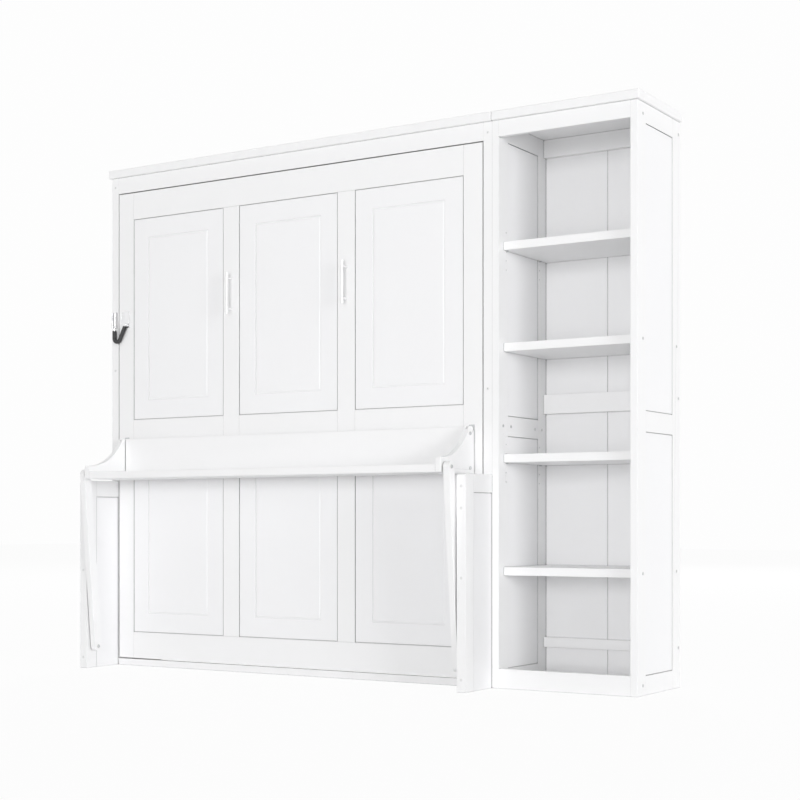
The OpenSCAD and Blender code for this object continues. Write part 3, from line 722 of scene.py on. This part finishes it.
@dataclass
class ScrewHeads:
    """Round socket screws with a hexagonal recess, set flush in the painted wood, in millimetres."""

    shop: Workshop
    radius: float = 5.5
    height: float = 1.0
    sunk: float = 3.0
    socket_radius: float = 2.0
    sides: int = 28
    socket_sides: int = 6
    seed: int = 7

    def tree(self) -> bpy.types.NodeTree:
        """Builds the tree that puts a head on every point.

        Returns:
            The geometry node group.
        """
        graph = GrowingGraph("screw_heads", [
            ("Head Radius", "NodeSocketFloat", self.radius * MM),
            ("Head Height", "NodeSocketFloat", (self.height + self.sunk) * MM),
            ("Socket Radius", "NodeSocketFloat", self.socket_radius * MM),
            ("Sunk", "NodeSocketFloat", self.sunk * MM),
            ("Seed", "NodeSocketInt", self.seed),
        ])
        given = graph.given
        head = graph.add("GeometryNodeMeshCylinder", {
            "Vertices": self.sides, "Radius": given["Head Radius"], "Depth": given["Head Height"]})
        socket = graph.add("GeometryNodeMeshCylinder", {
            "Vertices": self.socket_sides, "Radius": given["Socket Radius"],
            "Depth": given["Head Height"]})
        up = graph.add("ShaderNodeCombineXYZ", {"Z": given["Sunk"]})
        lifted = graph.add("GeometryNodeTransform", {"Geometry": socket.outputs["Mesh"],
                                                     "Translation": up.outputs["Vector"]})
        cut = graph.add("GeometryNodeMeshBoolean", operation="DIFFERENCE", solver="EXACT")
        graph.join(head.outputs["Mesh"], cut.inputs["Mesh 1"])
        graph.join(lifted.outputs["Geometry"], cut.inputs["Mesh 2"])
        facing = graph.add("GeometryNodeInputNamedAttribute", {"Name": "facing"},
                           data_type="FLOAT_VECTOR")
        turn = graph.add("FunctionNodeAlignRotationToVector", {"Vector": facing.outputs["Attribute"]},
                         axis="Z")
        chance = graph.add("FunctionNodeRandomValue", {
            RANDOM_LOW: 0.0, RANDOM_HIGH: math.tau / self.socket_sides, "Seed": given["Seed"]},
            data_type="FLOAT")
        spin = graph.add("FunctionNodeAxisAngleToRotation", {
            "Axis": (0.0, 0.0, 1.0), "Angle": chance.outputs[RANDOM_RESULT]})
        both = graph.add("FunctionNodeRotateRotation", {
            "Rotation": turn.outputs["Rotation"], "Rotate By": spin.outputs["Rotation"]},
            rotation_space="LOCAL")
        return graph.finish(given["Geometry"], cut.outputs["Mesh"], {"Rotation": both.outputs["Rotation"]})

    def spots(self, node: str, facing: Facing) -> list[tuple[Vector, Facing]]:
        """Finds where a CAD node has its caps.

        Args:
            node: The CAD node that holds the caps, one solid each.
            facing: The direction that they look in.

        Returns:
            For each cap the middle of its head, and its direction.
        """
        way = Vector(facing.value)
        half = (self.height + self.sunk) * MM / 2
        mesh = self.shop.copy_of(node)
        found = []
        for solid in islands(mesh.verts, lambda vert: (e.other_vert(vert) for e in vert.link_edges)):
            low = Vector([min(vert.co[i] for vert in solid) for i in range(3)])
            high = Vector([max(vert.co[i] for vert in solid) for i in range(3)])
            middle = (low + high) / 2
            front = max(vert.co.dot(way) for vert in solid)
            found.append((middle + way * (front - middle.dot(way) - half), facing))
        mesh.free()
        return found

    def build(self) -> None:
        """Puts the heads on the cabinet, the bookcase and its inner wall."""
        tree = self.tree()
        for node, facing in (("cabinet_screw_caps", Facing.ROOM), ("bookcase_screw_caps", Facing.RIGHT),
                             ("joining_bolts", Facing.RIGHT)):
            material = self.shop.wardrobe.get(self.shop.slot_of[node], Grain.UP)
            points = points_object(f"{node}_heads", self.spots(node, facing))
            piece = grow(points, tree, {"Material": material, "Seed": self.seed})
            self.shop.hang(piece, node)


@dataclass
class SlatBase:
    """The bed's slats: sprung boards with rounded edges, all alike, in millimetres."""

    shop: Workshop
    count: int = 14
    width: float = 70.0
    thickness: float = 12.0
    rounding: float = 3.0
    rounding_steps: int = 3
    rounding_profile: float = 0.5

    def tree(self, pitch: float) -> bpy.types.NodeTree:
        """Builds the tree that lays the slats out in a row.

        Args:
            pitch: The distance from slat to slat, in metres.

        Returns:
            The geometry node group.
        """
        graph = GrowingGraph("slat_row", [
            ("Count", "NodeSocketInt", self.count),
            ("Pitch", "NodeSocketFloat", pitch),
            ("Start", "NodeSocketVector", (0.0, 0.0, 0.0)),
        ])
        given = graph.given
        step = graph.add("ShaderNodeCombineXYZ", {"Z": given["Pitch"]})
        line = graph.add("GeometryNodeMeshLine", {
            "Count": given["Count"], "Start Location": given["Start"],
            "Offset": step.outputs["Vector"]}, mode="OFFSET")
        return graph.finish(line.outputs["Mesh"], given["Geometry"], {})

    def build(self) -> None:
        """Makes one slat about the origin and lays out the row."""
        low, high = (Vector(c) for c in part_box("bed_slats"))
        width = self.width * MM
        pitch = (high.z - low.z - width) / (self.count - 1)
        mesh = bmesh.new()
        bmesh.ops.create_cube(mesh, size=1.0)
        bmesh.ops.scale(mesh, vec=(high.x - low.x, self.thickness * MM, width), verts=mesh.verts)
        bmesh.ops.bevel(mesh, geom=mesh.edges[:], offset=self.rounding * MM,
                        segments=self.rounding_steps, affect="EDGES", profile=self.rounding_profile)
        for face in mesh.faces:
            face.smooth = True
        data = bpy.data.meshes.new("slats")
        mesh.to_mesh(data)
        mesh.free()
        start = Vector(((low.x + high.x) / 2, (low.y + high.y) / 2, low.z + width / 2))
        piece = grow(show("slats", data), self.tree(pitch), {
            "Count": self.count, "Pitch": pitch, "Start": start,
            "Material": self.shop.wardrobe.get(self.shop.slot_of["bed_slats"], Grain.ACROSS),
        })
        self.shop.hang(piece, "bed_slats")


@dataclass
class DoorPanels:
    """The six panels, each a flat border and a flat field with a routed line between them.

    The section runs from a panel's hidden edge to its field. Each point is an inset from the
    opening's edge and a depth behind the door's face, in the cabinet's millimetres.
    """

    shop: Workshop
    door_x: float = 926.0
    stile: float = 84.0
    upper: tuple[float, float] = (1089.0, 1977.5)
    lower: tuple[float, float] = (149.0, 971.0)
    section: tuple[tuple[float, float], ...] = (
        (-7.5, 15.3), (-7.5, 6.7), (3.0, 6.7), (3.0, 2.2), (3.2, 1.7), (3.7, 1.5), (83.6, 1.5),
        (84.0, 1.6), (84.3, 2.2), (84.6, 4.4), (87.0, 4.4), (90.0, 3.2), (92.4, 1.9), (93.0, 1.5),
        (98.0, 1.5),
    )

    def panel(self, mesh: bmesh.types.BMesh, x: float, width: float, span: tuple[float, float]) -> None:
        """Adds one panel to a mesh, ring by ring from its hidden edge to its field.

        Args:
            mesh: The mesh that gets the panel.
            x: The opening's left edge, in cabinet millimetres.
            width: The opening's width.
            span: The heights of the opening's lower and upper edges.
        """
        rings = []
        for inset, depth in self.section:
            left, right = x + inset, x + width - inset
            low, high = span[0] + inset, span[1] - inset
            corners = ((left, low), (right, low), (right, high), (left, high))
            rings.append([mesh.verts.new(place(cx, depth, cz)) for cx, cz in corners])
        for outer, inner in zip(rings, rings[1:]):
            for i, outer_corner in enumerate(outer):
                j = (i + 1) % len(outer)
                mesh.faces.new((outer_corner, outer[j], inner[j], inner[i]))
        mesh.faces.new(rings[-1])
        mesh.faces.new(rings[0][::-1])

    def build(self) -> None:
        """Builds both rows of panels, three columns between four stiles."""
        width = (2 * self.door_x - 4 * self.stile) / 3
        for node, span in (("door_upper_panels", self.upper), ("door_lower_panels", self.lower)):
            mesh = bmesh.new()
            for column in (-1, 0, 1):
                self.panel(mesh, column * (width + self.stile) - width / 2, width, span)
            bmesh.ops.recalc_face_normals(mesh, faces=mesh.faces)
            piece = self.shop.publish(mesh, f"{node}_routed", self.shop.slot_of[node])
            for polygon in piece.data.polygons:
                polygon.use_smooth = False
            self.shop.hang(piece, node)


@dataclass
class Joinery:
    """Painted boards and frames, each with its edges eased by a plane.

    An ease is a width in millimetres and a number of faces across it.
    """

    shop: Workshop
    fine: tuple[str, ...] = (
        "door_stiles", "door_rails", "left_side_frame", "right_side_frame", "left_wing_frame",
        "right_wing_frame", "bookcase_left_frame", "bookcase_right_frame", "bed_header_rail",
        "threshold_rail", "bed_back_rails", "bookcase_header_rail", "bookcase_base_rail",
        "bookcase_back_rails", "bookcase_back_boards", "left_side_panels", "right_side_panels",
        "wing_panels", "bookcase_left_panels", "bookcase_right_panels", "corner_blocks",
    )
    plain: tuple[str, ...] = (
        "shelf_1", "shelf_2", "shelf_3", "shelf_4", "bed_side_rails", "bed_end_rails",
        "slat_ledges", "bed_centre_beam", "link_left", "link_right", "desk_back_board",
    )
    rounded: tuple[str, ...] = ("desk_top", "desk_ear_left", "desk_ear_right")
    crown: tuple[str, ...] = ("crown_boards",)
    fine_ease: tuple[float, int] = (0.8, 2)
    plain_ease: tuple[float, int] = (1.2, 2)
    rounded_ease: tuple[float, int] = (2.0, 3)
    crown_ease: tuple[float, int] = (4.0, 4)

    def build(self) -> None:
        """Eases the edges of every wooden node."""
        for nodes, ease in ((self.fine, self.fine_ease), (self.plain, self.plain_ease),
                            (self.rounded, self.rounded_ease), (self.crown, self.crown_ease)):
            for node in nodes:
                self.shop.ease_edges(node, *ease)


@dataclass
class Hardware:
    """Handles, hinges, bushes and the latch, with the width of the eased edges in millimetres."""

    shop: Workshop
    eased: tuple[tuple[str, float], ...] = (
        ("handle_left", 1.5), ("handle_right", 1.5), ("latch_keeper", 1.0), ("latch_bracket", 0.8),
        ("desk_pivot_bolts", 0.8), ("desk_fixing_bolts", 0.8), ("link_lower_bolts", 0.8),
        ("desk_hinge_brackets", 0.5), ("latch_hook_sleeve", 0.8), ("latch_hook_rod", 0.4),
    )
    kept: tuple[str, ...] = (
        "cabinet_pivot_plates", "bed_pivot_sockets", "shelf_pins", "pivot_spacers",
        "link_upper_spacers", "link_left_bushes", "link_right_bushes",
    )

    def build(self) -> None:
        """Eases and coats the metalware."""
        for node, width in self.eased:
            self.shop.ease_edges(node, width)
        for node in self.kept:
            self.shop.coat(node)


# ---------------------------------------------------------------- studio


@dataclass(frozen=True)
class Lamp:
    """A soft square lamp that looks at a point on the object, in metres."""

    name: str
    spot: tuple[float, float, float]
    target: tuple[float, float, float]
    size: float
    watts: float

    def build(self) -> None:
        """Hangs the lamp."""
        data = bpy.data.lights.new(self.name, "AREA")
        data.size = self.size
        data.energy = self.watts
        lamp = show(self.name, data)
        lamp.location = self.spot
        look = Vector(self.target) - Vector(self.spot)
        lamp.rotation_euler = look.to_track_quat("-Z", "Y").to_euler()


@dataclass
class Studio:
    """Plain white floor, soft lamps and the camera of the photograph.

    The eye is in the cabinet's millimetres, the sensor in camera millimetres and the floor in metres.
    """

    backdrop: float = 0.985
    ambient: float = 0.44
    floor_glow: float = 1.0
    floor_share: float = 0.95
    floor_half: float = 30.0
    floor_colour: tuple[float, float, float, float] = (0.88, 0.88, 0.88, 1.0)
    focal_px: float = 1575.7
    frame_px: float = 800.0
    horizon_px: float = 522.5
    yaw: float = 32.0336
    eye: tuple[float, float, float] = (3868.4, -5300.0, 633.9)
    sensor: float = 36.0
    far_clip: float = 100.0
    lamps: tuple[Lamp, ...] = (
        Lamp("front_lamp", (5.0, -24.0, 2.0), (0.3, 0.0, 1.1), 9.0, 2190.0),
        Lamp("side_lamp", (20.0, -7.5, 1.6), (1.2, 0.0, 1.1), 6.0, 1850.0),
        Lamp("rear_side_lamp", (20.0, 6.0, 1.6), (1.2, 0.3, 1.1), 4.0, 520.0),
        Lamp("floor_lamp", (1.5, -4.5, 0.12), (0.6, 0.0, 1.5), 2.0, 30.0),
        Lamp("key_lamp", (-3.6, -6.2, 4.6), (-0.4, 0.0, 1.1), 1.2, 12.0),
        Lamp("back_lamp", (-6.0, 14.0, 8.0), (0.0, 0.0, 1.1), 4.0, 1000.0),
    )

    def camera(self) -> None:
        """Sets up the camera that was fitted to the photograph's edges."""
        data = bpy.data.cameras.new("photo_camera")
        data.sensor_width = self.sensor
        data.lens = self.focal_px * self.sensor / self.frame_px
        data.shift_y = (self.horizon_px - self.frame_px / 2) / self.frame_px
        data.clip_end = self.far_clip
        eye = show("photo_camera", data)
        eye.location = place(*self.eye)
        eye.rotation_euler = (math.pi / 2, 0.0, math.radians(self.yaw))
        bpy.context.scene.camera = eye

    @staticmethod
    def seen_mask(graph: Graph) -> bpy.types.NodeSocket:
        """A value that is 1 for the rays that show the background, 0 for those that light the object.

        Args:
            graph: The graph that gets the nodes.

        Returns:
            The socket with the value.
        """
        path = graph.add("ShaderNodeLightPath").outputs
        first = graph.add("ShaderNodeMath", {0: path["Is Camera Ray"], 1: path["Is Glossy Ray"]},
                          operation="MAXIMUM")
        second = graph.add("ShaderNodeMath", {0: first.outputs[0], 1: path["Is Transmission Ray"]},
                           operation="MAXIMUM")
        return second.outputs[0]

    def world(self) -> None:
        """Lights the object evenly and shows a plain white background."""
        world = bpy.data.worlds.new("studio")
        world.use_nodes = True
        graph = cleared(world.node_tree)
        soft = graph.add("ShaderNodeBackground", {"Color": WHITE, "Strength": self.ambient})
        shown = graph.add("ShaderNodeBackground", {"Color": WHITE, "Strength": self.backdrop})
        mix = graph.add("ShaderNodeMixShader", {
            "Fac": self.seen_mask(graph), 1: soft.outputs["Background"],
            2: shown.outputs["Background"]})
        graph.add("ShaderNodeOutputWorld", {"Surface": mix.outputs["Shader"]})
        bpy.context.scene.world = world

    def floor(self) -> None:
        """Lays the pale floor, which keeps a faint shadow."""
        data = bpy.data.meshes.new("floor")
        half = self.floor_half
        data.from_pydata([(-half, -half, 0), (half, -half, 0), (half, half, 0), (-half, half, 0)], [],
                         [(0, 1, 2, 3)])
        material = bpy.data.materials.new("floor_white")
        material.use_nodes = True
        graph = cleared(material.node_tree)
        matt = graph.add("ShaderNodeBsdfDiffuse", {"Color": self.floor_colour})
        glow = graph.add("ShaderNodeEmission", {"Color": WHITE, "Strength": self.floor_glow})
        share = graph.add("ShaderNodeMath", {0: self.seen_mask(graph), 1: self.floor_share},
                          operation="MULTIPLY")
        mix = graph.add("ShaderNodeMixShader", {
            "Fac": share.outputs[0], 1: matt.outputs["BSDF"], 2: glow.outputs["Emission"]})
        graph.add("ShaderNodeOutputMaterial", {"Surface": mix.outputs["Shader"]})
        data.materials.append(material)
        floor = show("floor", data)
        floor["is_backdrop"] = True

    def build(self) -> None:
        """Builds the whole studio."""
        bpy.context.scene.view_settings.view_transform = "Standard"
        self.camera()
        self.world()
        self.floor()
        for lamp in self.lamps:
            lamp.build()


def corners() -> list[list[float]]:
    """The whole object's lowest and highest corners, as plain lists."""
    return [list(corner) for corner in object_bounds()]


def main() -> None:
    """Builds the studio and every piece."""
    logging.basicConfig(level=logging.INFO, format="%(name)s: %(message)s")
    shop = Workshop(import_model())
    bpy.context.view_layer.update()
    Studio().build()
    Joinery(shop).build()
    DoorPanels(shop).build()
    ScrewHeads(shop).build()
    SlatBase(shop).build()
    Hardware(shop).build()


if __name__ == "__main__":
    main()
